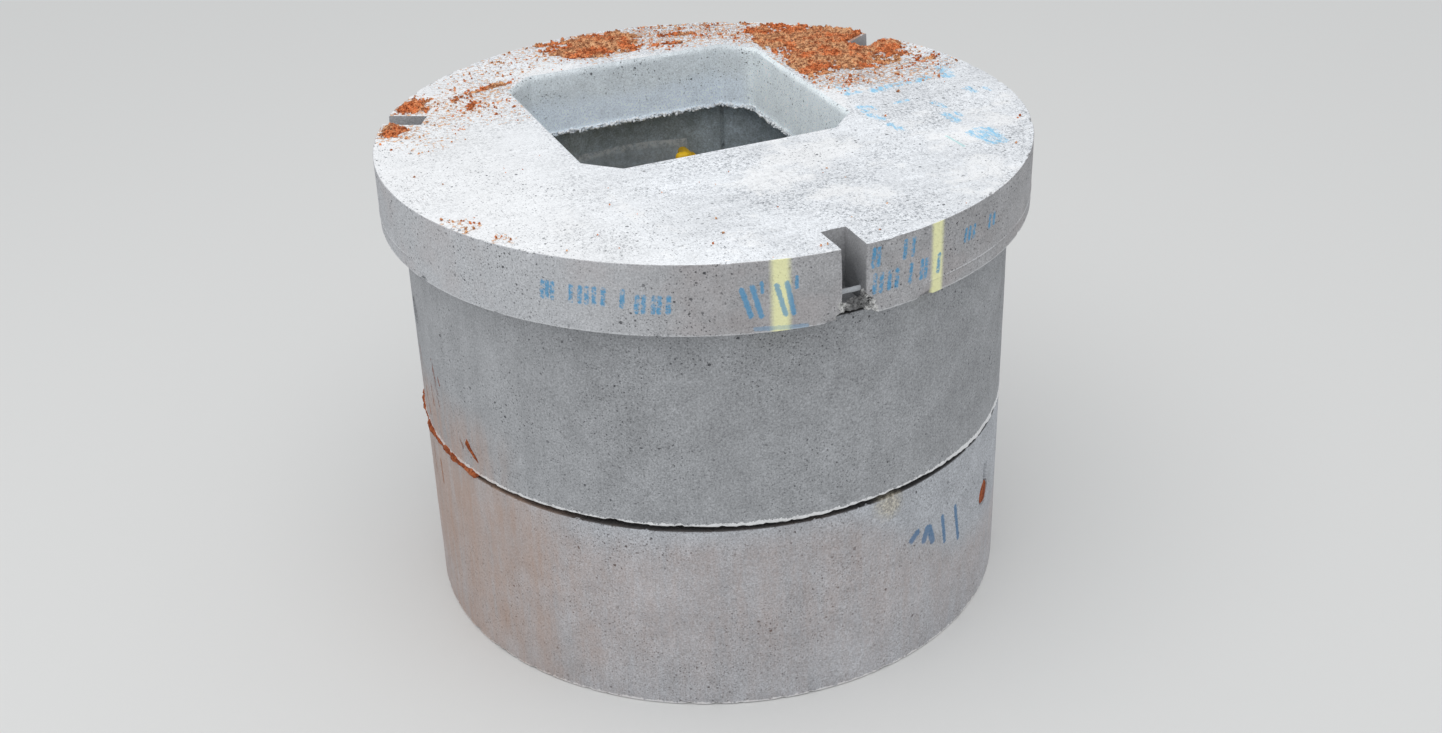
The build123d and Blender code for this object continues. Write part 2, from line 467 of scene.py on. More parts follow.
top_faint_line = [((0.470, -0.339), (0.473, -0.413), 0.003)]

# Where soil dust lies on the top, as centre, reach and share covered
dusty_places = [
    (-0.03, 0.67, 0.17, 0.60), (0.15, 0.67, 0.16, 0.50), (0.28, 0.64, 0.16, 0.50), (0.38, 0.57, 0.14, 0.50),
    (0.56, 0.38, 0.26, 0.80), (0.40, 0.32, 0.10, 0.50), (0.43, 0.13, 0.12, 0.45), (0.53, 0.12, 0.14, 0.45),
    (0.63, 0.11, 0.12, 0.40), (0.70, 0.13, 0.09, 0.30), (-0.20, 0.68, 0.16, 0.30), (-0.33, 0.62, 0.14, 0.22),
    (-0.42, 0.55, 0.12, 0.18), (-0.46, 0.41, 0.14, 0.38), (-0.38, 0.47, 0.11, 0.38), (-0.40, 0.31, 0.12, 0.20),
    (-0.55, 0.34, 0.12, 0.28), (-0.60, 0.45, 0.10, 0.60), (-0.68, 0.30, 0.09, 0.55), (-0.62, 0.20, 0.10, 0.16),
    (-0.69, -0.31, 0.06, 0.30), (-0.63, -0.41, 0.04, 0.25),
]

# Soil heaps on the top, as centre, half sizes, turn in degrees and height
heaps = [
    (-0.035, 0.672, 0.105, 0.115, 0, 0.013), (-0.160, 0.742, 0.050, 0.018, 14, 0.005),
    (0.235, 0.745, 0.045, 0.016, -15, 0.005), (0.195, 0.650, 0.060, 0.016, -20, 0.005),
    (0.150, 0.590, 0.045, 0.011, -10, 0.004), (0.550, 0.420, 0.210, 0.150, -52, 0.015),
    (0.530, 0.330, 0.170, 0.140, -20, 0.012), (0.440, 0.300, 0.100, 0.140, -10, 0.009),
    (0.540, 0.210, 0.170, 0.055, -8, 0.007), (-0.600, 0.450, 0.060, 0.055, -30, 0.009),
    (-0.672, 0.318, 0.048, 0.040, 40, 0.008), (-0.460, 0.377, 0.024, 0.042, -20, 0.005),
    (-0.370, 0.490, 0.050, 0.016, 15, 0.005), (-0.485, 0.425, 0.013, 0.050, -10, 0.004),
    (-0.700, -0.300, 0.034, 0.007, -66, 0.003), (-0.630, -0.405, 0.020, 0.005, -50, 0.003),
]

# Single crumbs on the top, as place and radius
stray_crumbs = [
    (-0.717, -0.258, 0.004), (-0.640, -0.400, 0.004), (-0.616, -0.423, 0.003), (0.406, -0.160, 0.003),
    (-0.251, -0.634, 0.003), (-0.060, -0.745, 0.003), (0.512, -0.030, 0.005), (0.655, 0.020, 0.005),
]

# Bites broken from the rim below each bar, as places across, out and up, and half sizes
broken_bites = [
    (0.0, 0.005, 0.006, (0.037, 0.033, 0.044)),
    (0.035, 0.003, 0.008, (0.024, 0.017, 0.034)),
    (-0.030, 0.004, -0.004, (0.016, 0.012, 0.020)),
]

# The open gap at the joint between the rings, as turn in degrees and gap in metres
joint_openness = [
    (0, 0.003), (60, 0.005), (120, 0.003), (175, 0.005), (214, 0.010), (226, 0.0115), (242, 0.0105),
    (250, 0.008), (256, 0.007), (266, 0.007), (273, 0.009), (278, 0.0112), (286, 0.0105), (294, 0.007),
    (303, 0.0018), (320, 0.0005), (360, 0.003),
]


def on_wall(marks, radius):
    """Marks given by turns in degrees, as places on an unrolled upright wall."""
    return [((radians(turn) * radius, height), (radians(end_turn) * radius, end_height), half_width)
            for (turn, height), (end_turn, end_height), half_width in marks]


def ring_concrete(name, base, grey, marks, smears):
    """Cast concrete of one ring: mottled grey, fine pits, pale lips, and the marks and smears it carries."""
    shader = Shader(name, 0.88)
    noise, x, y, z, radius = shader.noise, shader.x, shader.y, shader.z, shader.radius
    pale = rgb(206, 208, 211)
    broad, cloudy, grain = noise(2.6, 5, 0.6), noise(14, 6, 0.62, 3), noise(230, 3, 0.75)
    runs = noise(34, 4, 0.6, 1, (1, 1, 0.05))
    colour = tinted(grey, (broad, 0.18), (cloudy, 0.30), (grain, 0.95), (runs, 0.08))
    place = shader.unrolled(ring_radius)[0]
    outside = radius.fade(ring_radius - 0.015, ring_radius - 0.008)

    # Scuffs by the foot, painted light on the left side, and pits
    scuffs = noise(26, 6, 0.8, 7).fade(0.60, 0.66) * z.fade(base + 0.04, base + 0.18, 1, 0.10)
    colour = painted(colour, pale, scuffs * 0.55)
    painted_light_on_left = (y * 0.25 + x).fade(-0.60, -0.80) * runs.fade(0.35, 0.60, 0.7, 1)
    colour = painted(colour, pale, painted_light_on_left * 0.34)
    pits = shader.pits(place, 0.12) * noise(5, 4, 0.6, 15).fade(0.35, 0.62, 0.30, 1)
    # The pits are painted dark, as painted shade in their hollows
    colour = painted(colour, rgb(58, 60, 64), pits * 0.85)

    # A white ragged lip at the foot, and painted shade with some dirt in the joints
    lip = z.below(noise(80, 4, 0.8, 9) * 0.024 + (base - 0.004)) * outside
    colour = painted(colour, rgb(246, 247, 248), lip * 0.92)
    joint_shade_and_dirt = radius.fade(ring_radius - 0.0005, ring_radius - 0.0035)
    joint_shade_and_dirt = joint_shade_and_dirt * radius.fade(bore_radius + 0.02, bore_radius + 0.03)
    joint_shade_and_dirt = joint_shade_and_dirt * z.above(base + shoulder_height - 0.004)
    colour = painted(colour, rgb(44, 41, 40), joint_shade_and_dirt * 0.92)

    # Paint and smeared soil
    rough = (noise(160, 4, 0.75) - 0.5) * 0.012
    if marks:
        blue = shader.strokes(place, on_wall(marks, ring_radius), rough)
        colour = painted(colour, old_blue, blue * outside * 0.74)
    patchy = noise(50, 5, 0.75, 19, (1, 1, 0.3)).fade(0.42, 0.56)
    soil = shader.strokes(place, on_wall(smears, ring_radius), rough) * patchy * outside
    colour = painted(colour, rgb(160, 88, 58), soil * 0.85)
    inner, inside, inner_light = inner_wall(shader, grain)
    bumps = [(broad, 0.004), (cloudy, 0.0012), (grain, 0.0009), (1 - pits, 0.0012), (soil, 0.002),
             (inside * inner_light, 0.004)]
    return shader, painted(colour, inner, inside), bumps


def inner_wall(shader, grain):
    """The inner wall: painted darker at the left as painted shade, with a mould seam and mortar trowelled
    round the steps.
    """
    inside = shader.radius.fade(bore_radius + 0.020, bore_radius + 0.010)
    light, speckle = shader.noise(24, 6, 0.8, 23), shader.noise(70, 5, 0.85, 27)
    inner = tinted(rgb(178, 189, 196), (light, 0.95), (grain, 0.90))
    # Painted shade: darker towards the left inside the ring
    inner = painted(inner, rgb(96, 101, 103), shader.x.fade(-0.16, -0.42, 0, 0.62))
    seam = abs(shader.unrolled(1.0)[1] - inner_seam_turn).fade(0.013, 0.006) * light.fade(0.42, 0.54, 0.2, 1)
    inner = painted(inner, rgb(76, 80, 82), seam * 0.80)
    mortar = tinted(rgb(196, 203, 209), (light, 0.9))
    sideways, z = abs(shader.x), shader.z
    for step in step_names:
        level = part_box(step)[0].z + step_bar_radius
        panel = sideways.fade(patch_half_width + 0.003, patch_half_width) * shader.y.above(0.0)
        panel = panel * z.within(level - 0.080, level + patch_rise, 0.003)
        inner = painted(inner, mortar, panel * 0.40)
        rim = most(z.fade(level + 0.012, level + 0.027), sideways.fade(0.176, 0.183, 0, 0.6))
        pale_rim = rim * panel * speckle.fade(0.44, 0.56, 0.05, 1)
        inner = painted(inner, rgb(244, 246, 247), pale_rim * 0.62)
    return inner, inside, light


def lower_ring_material():
    """The lower ring: paler, with a sandy patch, blue marks, and dust where the ground lay against it."""
    made = ring_concrete("lower ring concrete", 0.0, rgb(190, 193, 198), lower_ring_marks, lower_ring_smears)
    shader, colour, bumps = made
    noise, z, round_it = shader.noise, shader.z, shader.unrolled(ring_radius)[1]

    # Ground level round the ring: high at the left and front, low at the right
    level = round_it.fade(0, 2.1, 0.22, 0.45) - round_it.fade(3.42, 3.86, 0, 0.24)
    level = level + noise(5, 4, 0.6, 6) * 0.08
    streaks = noise(26, 5, 0.7, 8, (1, 1, 0.12))
    dust = (level - z).fade(-0.02, 0.09) * streaks.fade(0.25, 0.70, 0.35, 1)
    dust = dust * noise(90, 5, 0.8, 18).fade(0.30, 0.60, 0.6, 1) * z.fade(0, 0.25, 0.55, 1)
    colour = painted(colour, dust_colour, dust * 0.30)
    left_dust = (noise(6, 5, 0.65, 38) * 0.40 + shader.x).fade(-0.26, -0.58)
    left_dust = left_dust * streaks.fade(0.15, 0.80, 0.3, 1)
    colour = painted(colour, rgb(190, 156, 134), left_dust * 0.74)

    # A sandy rough patch below the joint
    gap = shader.vector("DISTANCE", shader.place, (0.125, -0.719, 0.468)) + noise(45, 5, 0.75) * 0.045
    patch = gap.fade(0.075, 0.035)
    sand = noise(150, 3, 0.7, 2)
    sandy = painted(rgb(150, 140, 122), rgb(246, 238, 216), sand.fade(0.40, 0.60))
    return shader.finish(painted(colour, sandy, patch * 0.60), bumps + [(patch * sand, 0.003)])


def upper_ring_material():
    """The upper ring, with soil smeared up its left side and a brownish cast by the joint there."""
    made = ring_concrete("upper ring concrete", ring_pitch, rgb(171, 173, 176), [], upper_ring_smears)
    shader, colour, bumps = made
    cast = shader.x.fade(-0.62, -0.71) * shader.z.fade(0.70, 0.56)
    cast = cast * shader.noise(22, 5, 0.7, 28, (1, 1, 0.2)).fade(0.35, 0.62, 0.25, 1)
    return shader.finish(painted(colour, dust_colour, cast * 0.50), bumps)


def rim_concrete(shader, off_wall, broad, cloudy, grain):
    """The slab's rim: warm grey, painted paler on its left as painted light, with a broken mould line and a
    paler ragged foot.
    """
    noise, x, y, z = shader.noise, shader.x, shader.y, shader.z
    rim = tinted(rgb(178, 178, 180), (broad, 0.20), (cloudy, 0.34), (grain, 0.75))
    # Painted light: the rim is made paler towards the left, where more light falls
    painted_light_on_left = (y * 0.4 + x).fade(-0.50, -0.85)
    rim = painted(rim, tinted(rgb(216, 219, 223), (grain, 0.6)), painted_light_on_left * 0.65)
    rim = painted(rim, rgb(196, 184, 182), noise(5, 4, 0.6, 11).fade(0.45, 0.65) * 0.25)
    seam = z.within(mould_line_height - 0.0007, mould_line_height + 0.0017, 0.0016)
    seam = seam * noise(9, 4, 0.6, 4).fade(0.36, 0.50) * off_wall
    seam = seam * most(x.fade(0.14, 0.26), (x * leftward_x + y * leftward_y).fade(0.62, 0.70))
    rim = painted(rim, rgb(228, 230, 232), seam * 0.5)
    foot = z.below(noise(70, 4, 0.7, 9) * 0.010 + slab_bottom)
    return painted(rim, rgb(226, 228, 230), foot * 0.5), seam


def opening_walls(shader, cloudy, grain):
    """The opening's walls: bluish, smooth, paler lower down, and painted paler at the right as painted light.
    """
    height = shader.z.fade(slab_bottom, slab_top - 0.012) + (cloudy - 0.5) * 0.9
    walls = painted(rgb(236, 246, 255), rgb(222, 229, 233), height.fade(0.25, 0.85))
    # Painted light: the right wall is made paler, where more light falls on it
    walls = painted(walls, rgb(244, 252, 255), shader.x.fade(0.30, 0.335))
    return tinted(walls, (cloudy, 0.26), (grain, 0.55))


def chalky_top(shader, trowel, grain):
    """The top: chalk white with trowel marks, grey speckle, whiter blotches and faint stains."""
    noise = shader.noise
    white = tinted(rgb(237, 240, 244), (noise(4.5, 6, 0.62, 12), 0.26), (trowel, 0.20), (grain, 0.55))
    speckle = noise(130, 3, 0.9, 5).fade(0.51, 0.58) * noise(5, 5, 0.65, 14).fade(0.38, 0.60, 0.22, 1)
    white = painted(white, rgb(138, 143, 150), speckle * 0.72)
    washed = most(noise(4, 6, 0.7, 41).fade(0.52, 0.62), shader.x.fade(-0.15, -0.60, 0, 0.9))
    white = painted(white, rgb(255, 255, 255), washed * 0.55)
    return painted(white, soil_light, noise(26, 6, 0.8, 33).fade(0.66, 0.74) * 0.30)


def paint_rim(shader, side, on_rim, rough, grain):
    """Yellow stripes, blue strokes and worn dashes on the rim."""
    place, round_it = shader.unrolled(slab_radius)
    for turn, half_width in yellow_stripes:
        off_centre = abs(round_it - radians(turn) * slab_radius) + rough * 0.8
        stripe = off_centre.fade(half_width * 1.25, half_width * 0.45)
        side = painted(side, tinted(paint_yellow, (grain, 0.16)), stripe * on_rim * 0.98)
    dashes = [((turn, height - reach), (turn + 0.25, height + reach), 0.0050)
              for height, reach, turns in rim_worn_dashes for turn in turns]
    worn = shader.noise(95, 5, 0.8, 21).fade(0.37, 0.55) * 0.80
    for marks, share in ((rim_tally_marks, 0.70), (rim_faint_band, 0.35), (dashes, worn)):
        blue = shader.strokes(place, on_wall(marks, slab_radius), rough)
        side = painted(side, paint_blue, blue * on_rim * share)
    return side


def paint_top(shader, white, rough):
    """Dry-brushed blue on the top, and one faint line."""
    ragged = (shader.noise(90, 4, 0.8, 44) - 0.45) * 0.045
    bristles = shader.noise(70, 4, 0.75, 17, (3.2, 0.5, 1)).fade(0.42, 0.54)
    brushed = shader.strokes(shader.flat, top_brush_marks, ragged) * bristles
    white = painted(white, rgb(124, 206, 246), brushed * 0.80)
    return painted(white, rgb(150, 226, 224), shader.strokes(shader.flat, top_faint_line, rough) * 0.5)


def slab_material():
    """The cover slab: chalky white top, grey rim with paint marks, and bluish form-smooth opening walls."""
    shader = Shader("slab concrete", 0.9)
    noise, y, z, flat, radius = shader.noise, shader.y, shader.z, shader.flat, shader.radius
    normal = shader.add("ShaderNodeNewGeometry", {}, "True Normal")
    facing_up = shader.add("ShaderNodeSeparateXYZ", {"Vector": normal}, 2)
    top = facing_up.fade(0.80, 0.93) * z.above(slab_top - 0.006)
    wall = most(abs(shader.x), abs(y - opening_centre_y)).below(opening_half_side + 0.0245)
    off_wall = 1 - wall
    broad, cloudy, grain = noise(3, 5, 0.6), noise(18, 6, 0.65, 3), noise(240, 3, 0.7)
    trowel = noise(11, 5, 0.6, 2, (1, 5, 1))
    rim, seam = rim_concrete(shader, off_wall, broad, cloudy, grain)
    side = painted(rim, opening_walls(shader, cloudy, grain), wall)
    white = chalky_top(shader, trowel, grain)

    # Pits, on the rim, the opening's walls and the top alike, painted dark as painted shade in them, and
    # painted shade deepening down the notch pockets
    face_place = shader.unrolled(slab_radius)[0]
    for share, place in ((wall, shader.unrolled(opening_half_side, opening_centre_y)[0]), (top, flat)):
        face_place = shader.add("ShaderNodeMix", {0: share, 4: face_place, 5: place}, 1, data_type="VECTOR")
    smooth_wall = wall * z.fade(slab_bottom + 0.10, slab_bottom + 0.04)
    pocket = radius.fade(slab_radius - 0.003, slab_radius - 0.005) * off_wall * (1 - top)
    pits = shader.pits(face_place, 0.30) * noise(5, 4, 0.6, 15).fade(0.35, 0.60, 0.30, 1)
    pits = pits * (smooth_wall * -0.6 + 1.0) * (1 - pocket)
    # The pits are painted dark, as painted shade in their hollows
    side = painted(side, rgb(56, 58, 62), pits * 0.95)
    # Painted shade: the notch pockets darken further down
    side = painted(side, rgb(84, 88, 92), pocket * z.fade(slab_top - 0.01, slab_top - 0.10, 0.1, 0.55))
    white = painted(white, rgb(76, 80, 86), pits * 0.85)

    rough = (noise(170, 4, 0.75) - 0.5) * 0.010
    side = paint_rim(shader, side, off_wall, rough, grain)
    white = paint_top(shader, white, rough)

    # Soil dust on the top, thickest by the heaps
    dusty = most(*[shader.vector("DISTANCE", flat, (x, y, 0)).fade(reach * 0.35, reach, share, 0)
                   for x, y, reach, share in dusty_places])
    granular = noise(85, 3, 0.7, 31)
    dust = (dusty * 0.24 + granular).fade(0.62, 0.64) * dusty.fade(0, 0.10)
    dust_colours = painted(soil_dark, soil_light, granular.fade(0.4, 0.7))
    white = painted(white, dust_colours, dust * 0.8)
    bumps = [(broad, 0.003), (trowel * top, 0.0016), (grain, 0.0007), (seam, 0.0015), (dust * top, 0.002),
             (1 - pits, 0.0013)]
    return shader.finish(painted(side, white, top), bumps)


def soil_material(name, light, middle, dark):
    """Loose sandy soil in several oranges, rough at every scale."""
    shader = Shader(name, 0.95)
    broad, grain = shader.noise(16, 5, 0.65), shader.noise(150, 4, 0.85, 4)
    colour = painted(middle, light, broad.fade(0.42, 0.58))
    colour = painted(colour, dark, shader.noise(70, 2, 0.6, 7).fade(0.54, 0.42) * 0.60)
    colour = painted(colour, dark, grain.fade(0.54, 0.38) * 0.8)
    return shader.finish(colour, [(broad, 0.004), (grain, 0.003)])


def plastic_material():
    """Yellow moulded plastic, lightly scuffed and dusty on top."""
    shader = Shader("yellow plastic", 0.42)
    broad = shader.noise(20, 4, 0.6)
    colour = tinted(rgb(248, 200, 40), (broad, 0.10))
    dust = shader.noise(45, 6, 0.75, 2).fade(0.52, 0.70)
    colour = painted(colour, rgb(196, 188, 170), dust * 0.28)
    return shader.finish(colour, [(broad, 0.0008), (shader.noise(300, 3, 0.7), 0.0002)])


def bar_material():
    """Dull steel under a skin of cement, with a little rust."""
    shader = Shader("cement skinned steel", 0.7)
    broad = shader.noise(40, 5, 0.65)
    rust = shader.noise(70, 5, 0.7, 3).fade(0.58, 0.70)
    colour = painted(tinted(rgb(190, 194, 198), (broad, 0.25)), rgb(140, 96, 70), rust * 0.35)
    return shader.finish(colour, [(broad, 0.001), (shader.noise(400, 3, 0.7), 0.0004)])


def stone_material():
    """Bare gravel and mortar where the concrete is broken open."""
    shader = Shader("broken concrete", 0.92)
    fine = shader.noise(120, 4, 0.8, 2)
    colour = painted(rgb(140, 140, 140), rgb(240, 240, 238), shader.noise(30, 5, 0.7).fade(0.42, 0.56))
    colour = painted(colour, rgb(80, 80, 82), fine.fade(0.50, 0.38) * 0.7)
    return shader.finish(colour, [(fine, 0.003)])


def mortar_material():
    """White mortar squeezed out in beads."""
    shader = Shader("squeezed mortar", 0.92)
    tone = shader.noise(110, 3, 0.7).fade(0.36, 0.56)
    colour = painted(rgb(186, 192, 198), rgb(250, 252, 253), tone)
    return shader.finish(colour, [(shader.noise(260, 3, 0.7), 0.001)])


materials = {
    "slab": slab_material(),
    "upper_ring": upper_ring_material(),
    "lower_ring": lower_ring_material(),
    "soil": soil_material("sandy soil", soil_light, soil_mid, soil_dark),
    "packed_soil": soil_material("packed soil", rgb(206, 124, 80), rgb(184, 98, 56), rgb(112, 50, 28)),
    "plastic": plastic_material(),
    "bar": bar_material(),
    "stone": stone_material(),
    "mortar": mortar_material(),
}


def ring_profile(base):
    """The ring's section as (radius, height) points once round it, outer face first and upwards."""
    top = base + shoulder_height
    crest = top + groove_depth + joint_gap
    groove_base = tongue_base_radius + groove_clearance
    groove_top = tongue_top_radius + groove_clearance

    # Each corner's radius and height, and how far apart the points lie on the way to the next
    corners = [
        (ring_radius - ring_bevel, base, 0.002), (ring_radius, base + ring_bevel, 0.0095),
        (ring_radius, top - ring_bevel, 0.002), (ring_radius - ring_bevel, top, 0.012),
        (tongue_base_radius, top, 0.010), (tongue_top_radius, crest, 0.014), (bore_radius, crest, 0.0145),
        (bore_radius, base + groove_depth, 0.014), (groove_top, base + groove_depth, 0.012),
        (groove_base, base, 0.013),
    ]
    points = []
    for (r0, z0, step), (r1, z1, _) in zip(corners, corners[1:] + corners[:1]):
        count = max(1, round(sqrt((r1 - r0) ** 2 + (z1 - z0) ** 2) / step))
        points += [(r0 + (r1 - r0) * n / count, z0 + (z1 - z0) * n / count) for n in range(count)]
    return np.array(points)


def make_ring(name, base, seed, material, ragged_lip):
    """One ring as a fine closed mesh: slightly uneven faces, worn edges, step patches and a mould seam."""
    profile = ring_profile(base)
    radius, turn = tube_grid(profile[:, 0], ring_columns)
    height = np.repeat(profile[:, 1:], ring_columns, axis=1)
    surface = upright(radius, turn, height)
    noise = Noise(seed)

    worn = 0.0004 + 0.0005 * (1 + noise.layered(surface, 0.11))
    edge_gap = np.minimum(np.abs(height - base), np.abs(height - base - shoulder_height))
    near_edge = ridge(edge_gap, 0.009) * (radius > ring_radius - 0.006)
    chips = np.maximum(0, noise.layered(surface, 0.022) - 0.45) * 0.010
    amount = -worn - near_edge * chips

    # Trowelled mortar patches round the steps, and the seam left by the inner mould
    on_bore = (radius < bore_radius + 0.001) & (height > base + 0.03) & (height < base + ring_pitch + 0.02)
    for step in step_names:
        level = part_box(step)[0].z + step_bar_radius
        ragged = 0.010 * noise.layered(surface, 0.05)
        sideways = patch_half_width - np.abs(surface[..., 0]) + ragged
        upwards = np.minimum(level + patch_rise - height, height - level + 0.115) + ragged
        patch = smooth_step(np.minimum(sideways, upwards), 0.0, 0.006) * on_bore * (surface[..., 1] > 0)
        amount = amount + patch * (0.006 + 0.003 * noise.layered(surface, 0.03))
    seam = ridge(np.abs(turn - inner_seam_turn) * bore_radius, 0.006)
    amount = amount + on_bore * seam * (0.0030 + 0.0024 * noise.layered(surface, 0.03))
    surface = push_out(surface, amount)

    # The outer lip hangs down over the joint, more in some places than in others
    if ragged_lip:
        gap = np.interp(np.degrees(turn), *zip(*joint_openness))
        drop = np.clip(joint_gap - gap - 0.0016 * noise.layered(surface, 0.016), -0.003, joint_gap - 0.0004)
        lip = smooth_step(radius, ring_radius - 0.016, ring_radius - 0.006)
        lip = lip * smooth_step(base + 0.018 - height, 0, 0.014)
        surface[..., 2] -= drop * lip
        fin = lip * smooth_step(base + 0.010 - height, 0, 0.004)
        fin = fin * (0.0012 + 0.0016 * noise.layered(surface, 0.012))
        surface += upright(fin, turn, 0 * turn)
    return grid_object(name, surface, material, closed=True)


def cut_lifting_holes(ring, node, seed):
    """Two opposite lifting holes through the wall, with rough flared mouths."""
    turn, height = lifting_holes[node]
    stations = [bore_radius + step for step in (-0.02, 0.004, 0.03, 0.07)]
    stations += [ring_radius + step for step in (-0.030, -0.010, -0.003, 0.02)]
    out, side = tube_grid(stations, 48)
    flare = 0.0045 * smooth_step(out, ring_radius - 0.012, ring_radius)
    places = lathed(out, lifting_hole_radius, side)
    reach = lifting_hole_radius + flare + 0.0012 * Noise(seed).layered(places, 0.02)
    for angle in (turn, turn + pi):
        points = placed(lathed(out, reach, side), radial_frame(angle, 0.0, height))
        apply_boolean(ring, grid_object("hole cutter", points, ring.data.materials[0]), "DIFFERENCE")
    sharpen(ring)


lower_ring = make_ring("lower_ring_cast", 0.0, 11, materials["lower_ring"], False)
cut_lifting_holes(lower_ring, "lower_ring", 12)
spall_frame = radial_frame(radians(312.4), ring_radius + 0.006, 0.352)
bite_out(lower_ring, spall_frame, (0.016, 0.013, 0.026), 0.004, 0.02, 13, materials["lower_ring"])
sharpen(lower_ring)
upper_ring = make_ring("upper_ring_cast", ring_pitch, 21, materials["upper_ring"], True)
cut_lifting_holes(upper_ring, "upper_ring", 22)
for piece, node in ((lower_ring, "lower_ring"), (upper_ring, "upper_ring")):
    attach(piece, "root")
    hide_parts(node)


def opening_reach(direction, grow):
    """Distance from the opening's centre to its outline, grown outwards, along each direction."""
    across, along = np.abs(np.cos(direction)), np.abs(np.sin(direction))
    side = opening_half_side + grow
    corner = 2 * opening_half_side - opening_corner + grow * sqrt(2)
    flat = np.minimum(side / np.maximum(across, 1e-9), side / np.maximum(along, 1e-9))
    return np.minimum(flat, corner / (across + along))


def wall_reach(direction, depth):
    """Distance from the opening's centre to its sloping wall at a depth, along each direction."""
    return opening_reach(direction, -depth * opening_slope)


def circle_reach(direction, radius):
    """Distance from the opening's centre to a circle round the slab's axis, along each direction."""
    toward = opening_centre_y * np.sin(direction)
    return -toward + np.sqrt(toward**2 - opening_centre_y**2 + radius**2)


def slab_directions(columns):
    """Directions from the opening's centre, even along the rim, with one at each corner of the opening."""
    turn = np.arange(columns) * 2 * pi / columns
    direction = np.arctan2(slab_radius * np.sin(turn) - opening_centre_y, slab_radius * np.cos(turn))
    near, far = opening_half_side - opening_corner, opening_half_side
    for x, y in ((far, near), (near, far)):
        for corner in (atan2(y, x), atan2(y, -x), atan2(-y, -x), atan2(-y, x)):
            direction[np.argmin(np.abs(direction - corner))] = corner
    return np.sort(direction)


def slab_rows(direction):
    """The slab's section along each direction, as (reach, height) rows from the opening's edge all round."""
    rim = circle_reach(direction, slab_radius)
    brow = opening_reach(direction, opening_arris)
    mouth = wall_reach(direction, slab_thickness)
    groove_inner = circle_reach(direction, slab_groove_inner_radius)
    rim_depths = [0.002] + spaced(0.007, 0.130, 0.0085)
    rim_depths += [0.130, 0.1325, 0.1345] + spaced(0.1405, 0.163, 0.008) + [0.163]
    sole_radii = [slab_radius - 0.002, 0.762, 0.742, 0.718, 0.694, 0.669]
    groove_radii = [0.659, 0.640, 0.616, slab_groove_inner_radius]
    sole_shares = (0, 0.15, 0.35, 0.55, 0.75, 0.88, 0.96)
    wall_depths = [slab_thickness, 0.162, 0.158] + spaced(0.153, opening_arris, 0.0085)
    rows = [(brow + (rim - brow) * share, slab_top) for share in spaced(0, 1, 1 / 62)]
    rows += [(rim - 0.002, slab_top)]
    rows += [(rim, slab_top - depth) for depth in rim_depths]
    rows += [(circle_reach(direction, radius), slab_bottom) for radius in sole_radii]
    rows += [(circle_reach(direction, radius), slab_bottom + groove_depth) for radius in groove_radii]
    rows += [(groove_inner + (mouth - groove_inner) * share, slab_bottom) for share in sole_shares]
    rows += [(wall_reach(direction, depth), slab_top - depth) for depth in wall_depths]
    rows += [(opening_reach(direction, grow), slab_top - (opening_arris - grow))
             for grow in (0, opening_arris / 2)]
    return rows[::-1]


def make_slab():
    """The cover slab as a fine closed mesh between the opening and the rim."""
    direction = slab_directions(slab_columns)
    reaches, heights = zip(*slab_rows(direction))
    reach = np.array(reaches)
    height = np.repeat(np.array(heights)[:, None], len(direction), axis=1)
    surface = upright(reach, direction, height, opening_centre_y)
    radius = np.hypot(surface[..., 0], surface[..., 1])
    noise = Noise(31)

    # Uneven faces, worn edges and a fine fin along the mould line
    amount = -0.0007 - 0.0006 * (1 + noise.layered(surface, 0.13))
    top_edge = np.hypot(slab_radius - radius, slab_top - height)
    bottom_edge = np.hypot(slab_radius - radius, height - slab_bottom)
    chips = np.maximum(0, noise.layered(surface, 0.026) - 0.30)
    amount = amount - chips * (0.009 * ridge(top_edge, 0.008) + 0.012 * ridge(bottom_edge, 0.010))
    leftward = surface[..., 0] * leftward_x + surface[..., 1] * leftward_y
    shows = np.maximum(smooth_step(surface[..., 0], 0.14, 0.26), smooth_step(leftward, 0.62, 0.70))
    fin = (radius > slab_radius - 0.003) * shows * ridge(np.abs(height - mould_line_height), 0.0012)
    surface = push_out(surface, amount + fin * 0.0011)

    # Mortar squeezed out in a ragged lip along the opening's lower edge
    lip = smooth_step(slab_bottom + 0.008 - surface[..., 2], 0.0, 0.004)
    lip = lip * smooth_step(0.60 - radius, 0.0, 0.03)
    lip = lip * smooth_step(reach - wall_reach(direction, slab_thickness), 0.020, 0.0)
    crumbly = np.clip(0.5 + 0.5 * noise.layered(surface, 0.020), 0, 1.3)
    surface -= upright(lip * (0.0005 + 0.0048 * crumbly), direction, 0 * height)
    surface[..., 2] -= lip * 0.004 * np.clip(noise.layered(surface, 0.014, 2), -0.4, 1)
    return grid_object("cover_slab_cast", surface, materials["slab"], closed=True)


